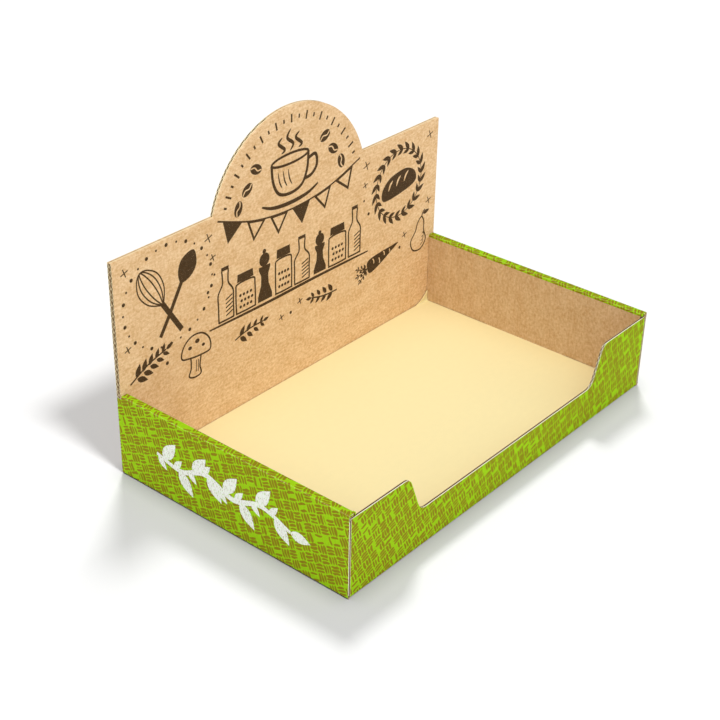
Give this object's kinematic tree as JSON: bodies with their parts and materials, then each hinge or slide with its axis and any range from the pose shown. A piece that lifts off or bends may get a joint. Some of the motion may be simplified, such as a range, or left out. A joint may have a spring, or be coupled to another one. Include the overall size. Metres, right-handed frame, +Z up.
{
  "type": "counter display stand",
  "caption": "Corrugated board counter display tray with roll-over side walls, a notched front, an arched header of two boards at the back and a loose floor liner, folded up from one blank.",
  "frame": {"origin": "on the counter, under the middle of the tray", "axes": "+X to the right along the front, +Y from the notched front to the header, +Z up"},
  "size_m": [0.3, 0.181, 0.1948],
  "materials": {
    "kraft_board": "bare kraft liner with fine fibres",
    "printed_kraft_board": "kraft liner with a dark brown one-colour print",
    "green_printed_board": "leaf green flexo print with a fine brown pattern",
    "cream_liner": "smooth cream paper"
  },
  "bodies": {
    "base": {"base_panel": "kraft_board"},
    "liner": {"floor_liner": "cream_liner"},
    "front": {"front_panel": "green_printed_board", "front_left_tab": "kraft_board", "front_right_tab": "kraft_board"},
    "header": {"header_panel": "kraft_board", "header_facing": "printed_kraft_board", "back_left_tab": "kraft_board", "back_right_tab": "kraft_board"},
    "left_wall": {"left_outer_wall": "green_printed_board"},
    "left_top": {"left_ledge": "green_printed_board"},
    "left_lining": {"left_inner_wall": "kraft_board"},
    "right_wall": {"right_outer_wall": "green_printed_board"},
    "right_top": {"right_ledge": "green_printed_board"},
    "right_lining": {"right_inner_wall": "kraft_board"}
  },
  "joints": [
    {"name": "liner_lift", "type": "slide", "parent": "base", "child": "liner", "axis": [0, 0, 1], "range_m": [0, 0.08]},
    {"name": "front_fold", "type": "hinge", "parent": "base", "child": "front", "pos_m": [0, -0.0905, 0], "axis": [1, 0, 0], "range_deg": [0, 90]},
    {"name": "header_fold", "type": "hinge", "parent": "base", "child": "header", "pos_m": [0, 0.0905, 0], "axis": [-1, 0, 0], "range_deg": [0, 90]},
    {"name": "left_wall_fold", "type": "hinge", "parent": "base", "child": "left_wall", "pos_m": [-0.15, 0, 0], "axis": [0, -1, 0], "range_deg": [0, 90]},
    {"name": "left_ledge_fold", "type": "hinge", "parent": "left_wall", "child": "left_top", "pos_m": [-0.15, 0, 0.056], "axis": [0, -1, 0], "range_deg": [0, 90]},
    {"name": "left_lining_fold", "type": "hinge", "parent": "left_top", "child": "left_lining", "pos_m": [-0.1447, 0, 0.056], "axis": [0, -1, 0], "range_deg": [0, 90]},
    {"name": "right_wall_fold", "type": "hinge", "parent": "base", "child": "right_wall", "pos_m": [0.15, 0, 0], "axis": [0, 1, 0], "range_deg": [0, 90]},
    {"name": "right_ledge_fold", "type": "hinge", "parent": "right_wall", "child": "right_top", "pos_m": [0.15, 0, 0.056], "axis": [0, 1, 0], "range_deg": [0, 90]},
    {"name": "right_lining_fold", "type": "hinge", "parent": "right_top", "child": "right_lining", "pos_m": [0.1447, 0, 0.056], "axis": [0, 1, 0], "range_deg": [0, 90]}
  ],
  "couplings": [
    {"joint": "left_ledge_fold", "follows": "left_wall_fold", "ratio": 1},
    {"joint": "left_lining_fold", "follows": "left_wall_fold", "ratio": 1},
    {"joint": "right_ledge_fold", "follows": "right_wall_fold", "ratio": 1},
    {"joint": "right_lining_fold", "follows": "right_wall_fold", "ratio": 1}
  ]
}
